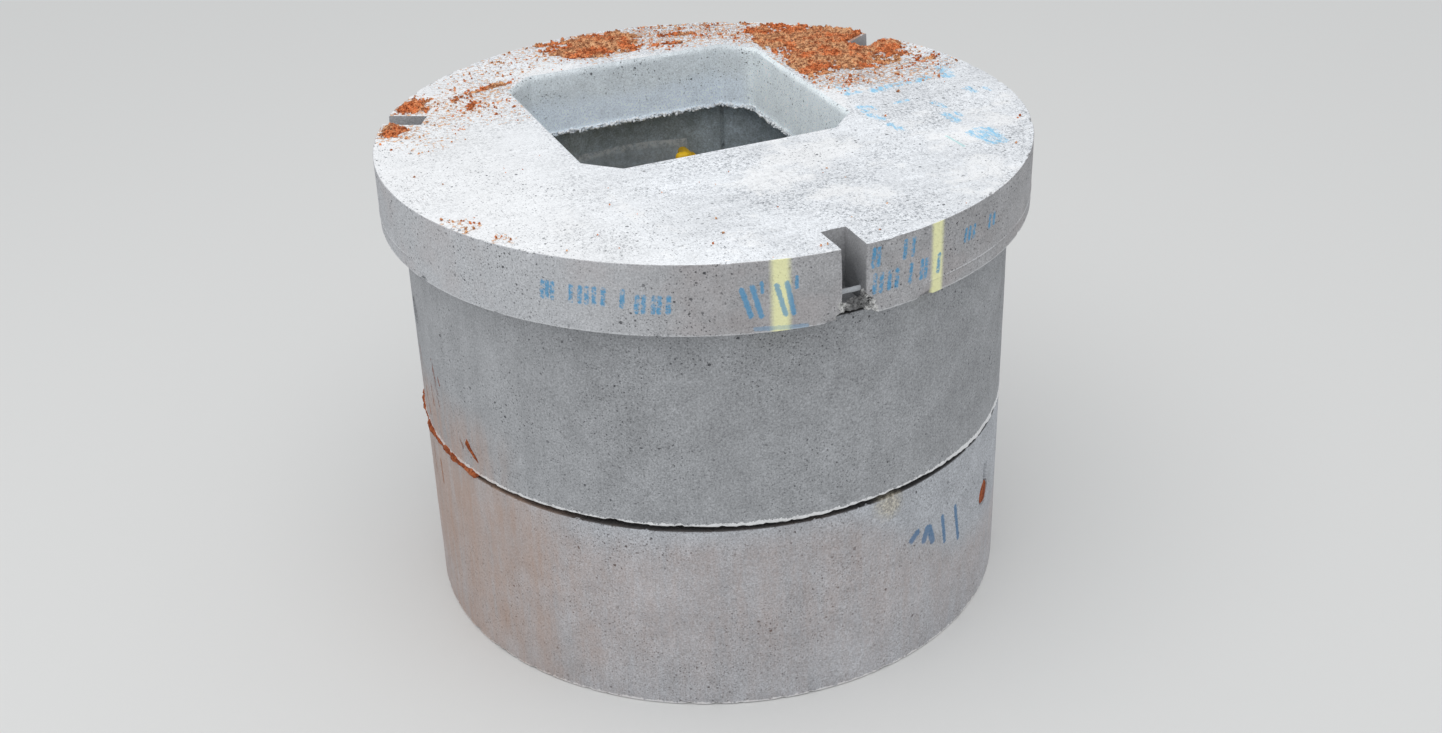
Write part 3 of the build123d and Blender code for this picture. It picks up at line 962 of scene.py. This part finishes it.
def cut_notch(slab, angle, seed):
    """A lifting notch: a smooth pocket from the top, and a broken mouth below the bar."""
    depth = slab_top + 0.02 - notch_floor
    length = slab_radius + 0.02 - notch_back_radius
    noise = Noise(seed)

    def pocket_shape(points):
        points = points * (length, 2 * notch_half_width, depth)
        low = smooth_step(-points[:, 2], depth * 0.10, depth * 0.5)
        on_side = np.sign(points[:, 1]) * (np.abs(points[:, 1]) > notch_half_width - 0.001)
        points[:, 1] += (0.0010 + 0.0022 * low) * noise.layered(points, 0.03) * on_side
        points[:, 0] += 0.0012 * noise.layered(points, 0.03) * (points[:, 0] < -length / 2 + 0.001)
        return points

    pocket_frame = radial_frame(angle, notch_back_radius + length / 2, notch_floor + depth / 2)
    apply_boolean(slab, shaped_block(1, 14, pocket_shape, pocket_frame, materials["slab"]), "DIFFERENCE")
    for across, out, up, sizes in broken_bites:
        place = radial_frame(angle, slab_radius + out, slab_bottom + up) @ Matrix.Translation((0, across, 0))
        bite_out(slab, place, sizes, 0.0085, 0.017, seed + 1, materials["stone"], 34)


cover_slab = make_slab()
for number, angle in notch_angles.items():
    cut_notch(cover_slab, angle, 40 + 2 * int(number))
sharpen(cover_slab)
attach(cover_slab, "root")
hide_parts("cover_slab")

# A regular solid of twenty faces, the start of each stone and crumb
golden = (1 + sqrt(5)) / 2
pebble_points = np.array([np.roll((one, long, 0), axis) for axis in range(3)
                          for long in (golden, -golden) for one in (-1, 1)])
pebble_points = pebble_points / np.linalg.norm(pebble_points[0])
pebble_faces = np.array([
    (0, 11, 5), (0, 5, 1), (0, 1, 7), (0, 7, 10), (0, 10, 11), (1, 5, 9), (5, 11, 4), (11, 10, 2),
    (10, 7, 6), (7, 1, 8), (3, 9, 4), (3, 4, 2), (3, 2, 6), (3, 6, 8), (3, 8, 9), (4, 9, 5), (2, 4, 11),
    (6, 2, 10), (8, 6, 7), (9, 8, 1),
])


def scatter_pebbles(name, places, sizes, material, random, crease=60):
    """Many irregular pebbles in one mesh, each turned and squashed its own way."""
    count = len(places)
    shape = pebble_points[None] * (1 + 0.28 * random.standard_normal((count, 12, 1)).clip(-1.5, 1.5))
    spin = random.random(count) * 2 * pi
    turn = np.zeros((count, 3, 3))
    turn[:, 0, 0], turn[:, 0, 1] = np.cos(spin), -np.sin(spin)
    turn[:, 1, 0], turn[:, 1, 1], turn[:, 2, 2] = np.sin(spin), np.cos(spin), 1
    squash = 0.65 + 0.5 * random.random((count, 1, 3))
    points = np.einsum("nij,nkj->nki", turn, shape * squash) * np.asarray(sizes)[:, None, None]
    points = points + np.asarray(places)[:, None, :]
    faces = pebble_faces[None] + 12 * np.arange(count)[:, None, None]
    return mesh_object(name, points, faces.reshape(-1, 3).tolist(), material, crease)


def make_mouth_stones():
    """Stones and mortar lumps bared in the broken mouth of each notch."""
    random = np.random.default_rng(51)
    places, sizes = [], []
    stone_index = cover_slab.data.materials.find("broken concrete")
    for face in cover_slab.data.polygons:
        if face.material_index != stone_index or random.random() > 0.22:
            continue
        size = random.uniform(0.0018, 0.0046) + 0.006 * random.random() ** 4
        x, y, z = face.center
        if np.hypot(x, y) <= slab_radius - 1.6 * size and z >= slab_bottom + size:
            places.append(face.center)
            sizes.append(size)
    return scatter_pebbles("notch_mouth_stones", places, sizes, materials["stone"], random)


def make_lip_beads():
    """Beads of mortar squeezed out along the opening's lower edge."""
    random = np.random.default_rng(53)
    count = 1500
    direction = random.uniform(0, 2 * pi, count)
    reach = wall_reach(direction, slab_thickness) - random.uniform(-0.001, 0.0055, count)
    height = slab_bottom + random.uniform(-0.0015, 0.0080, count)
    places = upright(reach, direction, height, opening_centre_y)
    sizes = 0.0016 + 0.0032 * random.random(count) ** 1.4
    return scatter_pebbles("opening_lip_beads", places, sizes, materials["mortar"], random)


for piece in (make_mouth_stones(), make_lip_beads()):
    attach(piece, "root")


def make_bar(number, angle):
    """A cast-in bar across a notch, dented and skinned with cement."""
    low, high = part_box(f"lifting_bar_{number}")
    along, side = tube_grid(np.linspace(-bar_half_length, bar_half_length, 60), 28)
    places = np.stack([np.cos(side) * bar_radius, along, np.sin(side) * bar_radius], axis=-1)
    reach = bar_radius - 0.0004 * (1 + Noise(60 + int(number)).layered(places, 0.012))
    local = np.stack([reach * np.cos(side), -along, reach * np.sin(side)], axis=-1)
    points = placed(local, radial_frame(angle, bar_radius_from_axis, (low.z + high.z) / 2))
    bar = grid_object(f"lifting_bar_{number}_skinned", points, materials["bar"])
    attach(bar, "root")
    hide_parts(f"lifting_bar_{number}")


for number, angle in notch_angles.items():
    make_bar(number, angle)


def bent_bar(level, front_y, end_y):
    """Points along the middle of a step's bar: out of the wall, round a bend, across and back."""
    path = [Vector((-step_leg_x, end_y - (end_y - front_y - step_bend) * n / 8, level)) for n in range(8)]
    for n in range(9):
        turn = pi + (pi / 2) * n / 8
        x = -step_leg_x + step_bend + step_bend * cos(turn)
        path.append(Vector((x, front_y + step_bend + step_bend * sin(turn), level)))
    return path + [Vector((-p.x, p.y, p.z)) for p in reversed(path)]


def round_bar(path, radius, sides):
    """Points round a bar that follows a level path."""
    points = []
    for n, place in enumerate(path):
        forward = (path[min(n + 1, len(path) - 1)] - path[max(n - 1, 0)]).normalized()
        out = Vector((0, 0, 1)).cross(forward)
        for turn in np.arange(sides) * 2 * pi / sides:
            points.append(place + out * (radius * cos(turn)) + Vector((0, 0, radius * sin(turn))))
    return np.array(points).reshape(len(path), sides, 3)


def ribbed_tread(front_y, level):
    """Points of a tread with squared sides and a groove between each pair of ribs on top."""
    along, side = tube_grid(np.linspace(-tread_half_length, tread_half_length, 161), 32)
    squared = (np.abs(np.cos(side)) ** 5 + np.abs(np.sin(side)) ** 5) ** (-1 / 5)
    in_groove = smooth_step(np.cos(along * 2 * pi / tread_rib_pitch), 0.86, 0.96)
    up = np.sin(side) * squared * tread_half_height
    up = up - tread_groove * in_groove * smooth_step(up, 0.2 * tread_half_height, 0.9 * tread_half_height)
    return np.stack([along, front_y + np.cos(side) * squared * tread_half_depth, level + up], axis=-1)


def rounded_block(centre, sizes, radius):
    """A moulded block with rounded edges."""
    bpy.ops.mesh.primitive_cube_add(size=1, location=(0, 0, 0))
    block = bpy.context.object
    block.data.transform(Matrix.Translation(centre) @ Matrix.Diagonal((*sizes, 1)))
    block.data.materials.append(materials["plastic"])
    apply_modifier(block, "BEVEL", width=radius, segments=5)
    return block


def make_step(name):
    """A plastic-covered step: round bar, ribbed tread, upright toe stops and small outer lugs."""
    low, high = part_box(name)
    level = low.z + step_bar_radius
    front_y = low.y + tread_half_depth
    path = bent_bar(level, front_y, high.y)
    step = grid_object(f"{name}_moulded", round_bar(path, step_bar_radius, 24), materials["plastic"])
    apply_boolean(step, grid_object("tread", ribbed_tread(front_y, level), materials["plastic"]), "UNION")
    for sign in (-1, 1):
        stop_centre = Vector((sign * toe_stop_x, front_y, level + 0.014))
        apply_boolean(step, rounded_block(stop_centre, toe_stop_sizes, toe_stop_round), "UNION")
        lug = rounded_block(Vector((sign * lug_x, front_y + step_bend, level + 0.014)), lug_sizes, lug_round)
        for vertex in lug.data.vertices:
            outwards = abs(vertex.co.x) - lug_inner_x
            if vertex.co.z > level + 0.010 and outwards > 0:
                vertex.co.z -= outwards
        apply_boolean(step, lug, "UNION")
    sharpen(step, 35)
    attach(step, "root")
    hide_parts(name)


for name in step_names:
    make_step(name)


def room_on_top(x, y):
    """1 on the slab's top, falling to 0 at its rim, the opening and the notches."""
    at_rim = smooth_step(slab_radius - np.hypot(x, y), 0.002, 0.020)
    grown = opening_reach(np.arctan2(y - opening_centre_y, x), opening_arris + 0.004)
    at_opening = smooth_step(np.hypot(x, y - opening_centre_y) - grown, 0.0, 0.015)
    clear = np.minimum(at_rim, at_opening)
    for angle in notch_angles.values():
        out = x * cos(angle) + y * sin(angle)
        side = np.abs(-x * sin(angle) + y * cos(angle))
        outside = np.maximum(notch_back_radius - 0.003 - out, side - notch_half_width - 0.003)
        clear = np.minimum(clear, smooth_step(outside, 0.0, 0.012))
    return clear


def soil_height(x, y):
    """Depth of soil on the slab's top at each place, negative where there is none."""
    noise = Noise(81)
    places = np.stack([x, y, np.zeros_like(x)], axis=-1)
    ragged = 0.35 * noise.layered(places, 0.05)
    depth = np.full_like(x, -1.0)
    for centre_x, centre_y, half_x, half_y, turn, height in heaps:
        a = radians(turn)
        u = ((x - centre_x) * cos(a) + (y - centre_y) * sin(a)) / half_x
        v = (-(x - centre_x) * sin(a) + (y - centre_y) * cos(a)) / half_y
        depth = np.maximum(depth, height * (1.1 - np.sqrt(u * u + v * v) + ragged))
    depth = np.minimum(depth, 0.0095) + 0.0038 * noise.layered(places, 0.011) - 0.0012
    clear = room_on_top(x, y)
    return np.where(clear > 0.02, (depth + 0.002) * clear - 0.002, -1.0)


def make_heaps():
    """The soil heaps as closed lumpy sheets that lie on the slab."""
    cell = 0.0036
    count = int(2 * slab_radius / cell)
    ticks = (np.arange(count) - count / 2) * cell
    x, y = np.meshgrid(ticks, ticks, indexing="ij")
    depth = soil_height(x, y)
    deep = depth > 0.0004
    kept = deep[:-1, :-1] & deep[1:, :-1] & deep[:-1, 1:] & deep[1:, 1:]
    top = np.stack([x, y, slab_top - 0.0012 + depth], axis=-1).reshape(-1, 3)
    under = np.stack([x, y, np.full_like(x, slab_top - 0.0020)], axis=-1).reshape(-1, 3)
    total = count * count
    index = np.arange(total).reshape(count, count)
    i, j = np.nonzero(kept)
    top_faces = np.stack([index[i, j], index[i + 1, j], index[i + 1, j + 1], index[i, j + 1]], axis=-1)
    faces = [top_faces, top_faces[:, ::-1] + total]

    # A wall on each open side of a cell, given by the way to the missing cell and the side's two corners
    padded = np.pad(kept, 1)
    sides = (((-1, 0), (0, 1), (0, 0)), ((1, 0), (1, 0), (1, 1)),
             ((0, -1), (0, 0), (1, 0)), ((0, 1), (1, 1), (0, 1)))
    for (di, dj), *ends in sides:
        open_side = ~padded[1 + i + di, 1 + j + dj]
        a, b = (index[i + end_i, j + end_j][open_side] for end_i, end_j in ends)
        faces.append(np.stack([b, a, a + total, b + total], axis=-1))
    used, renumbered = np.unique(np.concatenate(faces), return_inverse=True)
    points = np.concatenate([top, under])[used]
    return mesh_object("slab_soil_heaps", points, renumbered.reshape(-1, 4).tolist(), materials["soil"], 180)


def make_lumps():
    """Small lumps of soil packed over the heaps."""
    random = np.random.default_rng(85)
    tries, limit = 110000, 9000
    x, y = random.uniform(-slab_radius, slab_radius, (2, tries))
    depth = soil_height(x, y)
    kept = (depth > 0.0015) & (room_on_top(x, y) > 0.5)
    x, y, depth = (values[kept][:limit] for values in (x, y, depth))
    sizes = 0.0014 + 0.0022 * random.random(len(x)) ** 2.0
    places = np.stack([x, y, slab_top - 0.0013 + depth + 0.3 * sizes], axis=-1)
    return scatter_pebbles("slab_soil_lumps", places, sizes, materials["soil"], random, 50)


def make_crumbs():
    """Loose crumbs of soil, thick round the heaps and thin between them."""
    random = np.random.default_rng(91)
    count = 110000
    x, y = random.uniform(-slab_radius, slab_radius, (2, count))
    sizes = 0.0014 + 0.0028 * random.random(count) ** 1.8
    chance = np.full(count, 0.004)
    for centre_x, centre_y, reach, share in dusty_places:
        nearness = np.maximum(0, 1 - np.hypot(x - centre_x, y - centre_y) / reach) ** 0.8
        chance = np.maximum(chance, share * nearness)
    clumped = np.maximum(0.1, 0.5 + Noise(92)(np.stack([x, y, np.zeros(count)], axis=-1), 0.03))
    kept = (random.random(count) < 0.42 * chance * clumped) & (room_on_top(x, y) > 0.35)
    places = np.stack([x, y, slab_top - 0.0016 + sizes * 0.55], axis=-1)[kept]
    places = np.concatenate([places, [(x, y, slab_top + size * 0.4) for x, y, size in stray_crumbs]])
    sizes = np.concatenate([sizes[kept], [size for x, y, size in stray_crumbs]])
    return scatter_pebbles("slab_soil_crumbs", places, sizes, materials["soil"], random, 50)


def make_stuck_soil(name, path, reach, seed):
    """A lumpy strand of soil along (turn in degrees, height, depth below the ring's face) points."""
    noise = Noise(seed)
    path = np.array(path)
    length = sum(np.hypot(np.radians(np.diff(path[:, 0])) * ring_radius, np.diff(path[:, 1])))
    rows = max(24, int(length / 0.0025))
    share, side = tube_grid(np.linspace(0, 1, rows), 14)
    known = np.linspace(0, 1, len(path))
    turn, height, inset = (np.interp(share, known, path[:, n]) for n in range(3))
    turn = np.radians(turn)
    ends = smooth_step(np.minimum(share, 1 - share) * length, 0.0, 0.014)
    lumpy = 1 + 0.75 * noise.layered(lathed(share * length, 0.01, side), 0.022)
    size = reach * lumpy * (0.15 + 0.85 * ends)
    radius = ring_radius - inset - 0.8 * size * np.cos(side)
    if path[0, 1] == path[-1, 1]:
        points = upright(radius, turn, height + 0.85 * size * np.sin(side))
    else:
        points = upright(radius, turn + size * np.sin(side) / ring_radius, height)[:, ::-1]
    return grid_object(name, points, materials["packed_soil"], 60)


def make_hole_soil():
    """A plug of soil in the lower ring's lifting hole, a little below flush."""
    turn, height = lifting_holes["lower_ring"]
    share, side = tube_grid(np.linspace(0, 1, 12), 40)
    reach = np.sin(np.minimum(share * 1.3, 1.0) * pi / 2) * soil_plug_radius
    face = ring_radius - 0.002 - 0.002 * (share / 0.78) ** 2
    out = np.where(share < 0.78, face, ring_radius - 0.004 - (share - 0.78) * 0.18)
    out = out + 0.0012 * Noise(97).layered(lathed(out, reach, side), 0.012)
    points = placed(lathed(out, reach, side) * (1, -1, 1), radial_frame(turn + pi, 0.0, height))
    return grid_object("lifting_hole_soil", points[1:], materials["packed_soil"], 60)


joint_path = [(160, ring_pitch - 0.005, 0.004), (198, ring_pitch - 0.005, 0.004)]
stuck_path = [(195.4, 0.581, 0.001), (196.4, 0.563, 0.0), (198.7, 0.536, 0.0)]
soil_pieces = [
    make_heaps(), make_lumps(), make_crumbs(), make_hole_soil(),
    make_stuck_soil("joint_soil", joint_path, 0.0092, 95),
    make_stuck_soil("stuck_soil", stuck_path, 0.0062, 96),
]
for piece in soil_pieces:
    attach(piece, "root")


def make_floor():
    """A wide pale floor that keeps the object's shadow."""
    bpy.ops.mesh.primitive_circle_add(vertices=128, radius=40, fill_type="NGON", location=(0, 0, 0))
    floor = bpy.context.object
    floor.name = "floor"
    shader = Shader("pale floor", 1.0)
    camera_ray = shader.add("ShaderNodeLightPath", {}, "Is Camera Ray")
    seen = most(camera_ray, camera_ray.output("Is Glossy Ray"), camera_ray.output("Is Transmission Ray"))
    shader.surface.inputs["Specular IOR Level"].default_value = 0.0
    colour = painted((0.60, 0.60, 0.60, 1), (0.80, 0.80, 0.79, 1), seen)
    floor.data.materials.append(shader.finish(colour, []))


def make_light():
    """A pale even sky and one large soft lamp overhead, a little towards the camera."""
    world = bpy.data.worlds.new("sky")
    world.use_nodes = True
    nodes, links = world.node_tree.nodes, world.node_tree.links
    background = nodes["Background"]
    path = nodes.new("ShaderNodeLightPath")
    strength = nodes.new("ShaderNodeMapRange")
    strength.inputs["To Min"].default_value = 0.74
    strength.inputs["To Max"].default_value = 0.86
    links.new(path.outputs["Is Camera Ray"], strength.inputs["Value"])
    links.new(strength.outputs[0], background.inputs["Strength"])
    background.inputs["Color"].default_value = (0.97, 0.985, 1.0, 1)
    bpy.context.scene.world = world
    lamp = bpy.data.lights.new("soft overhead", "AREA")
    lamp.shape = "DISK"
    lamp.size = 5.0
    lamp.energy = 80
    holder = bpy.data.objects.new("soft overhead", lamp)
    holder.location = (-1.3, -1.5, 5.5)
    holder.rotation_euler = (Vector((0, 0, 1.0)) - holder.location).to_track_quat("-Z", "Y").to_euler()
    bpy.context.scene.collection.objects.link(holder)


def make_camera():
    """The camera where the photograph was taken, aimed a little lower to take in the ring's foot."""
    place = Vector((-1.5184, -3.6574, 2.6830))
    aim = Vector((0.0756, 0.1183, 0.4260))
    roll = radians(-1.9)
    data = bpy.data.cameras.new("camera")
    data.sensor_width = 36
    data.lens = 44.0
    forward = (aim - place).normalized()
    level = forward.cross(Vector((0, 0, 1))).normalized()
    right = Matrix.Rotation(-roll, 3, forward) @ level
    up = right.cross(forward)
    camera = bpy.data.objects.new("camera", data)
    camera.matrix_world = Matrix.Translation(place) @ Matrix((right, up, -forward)).transposed().to_4x4()
    bpy.context.scene.collection.objects.link(camera)
    bpy.context.scene.camera = camera


make_floor()
make_light()
make_camera()
bpy.context.scene.view_settings.view_transform = "Standard"
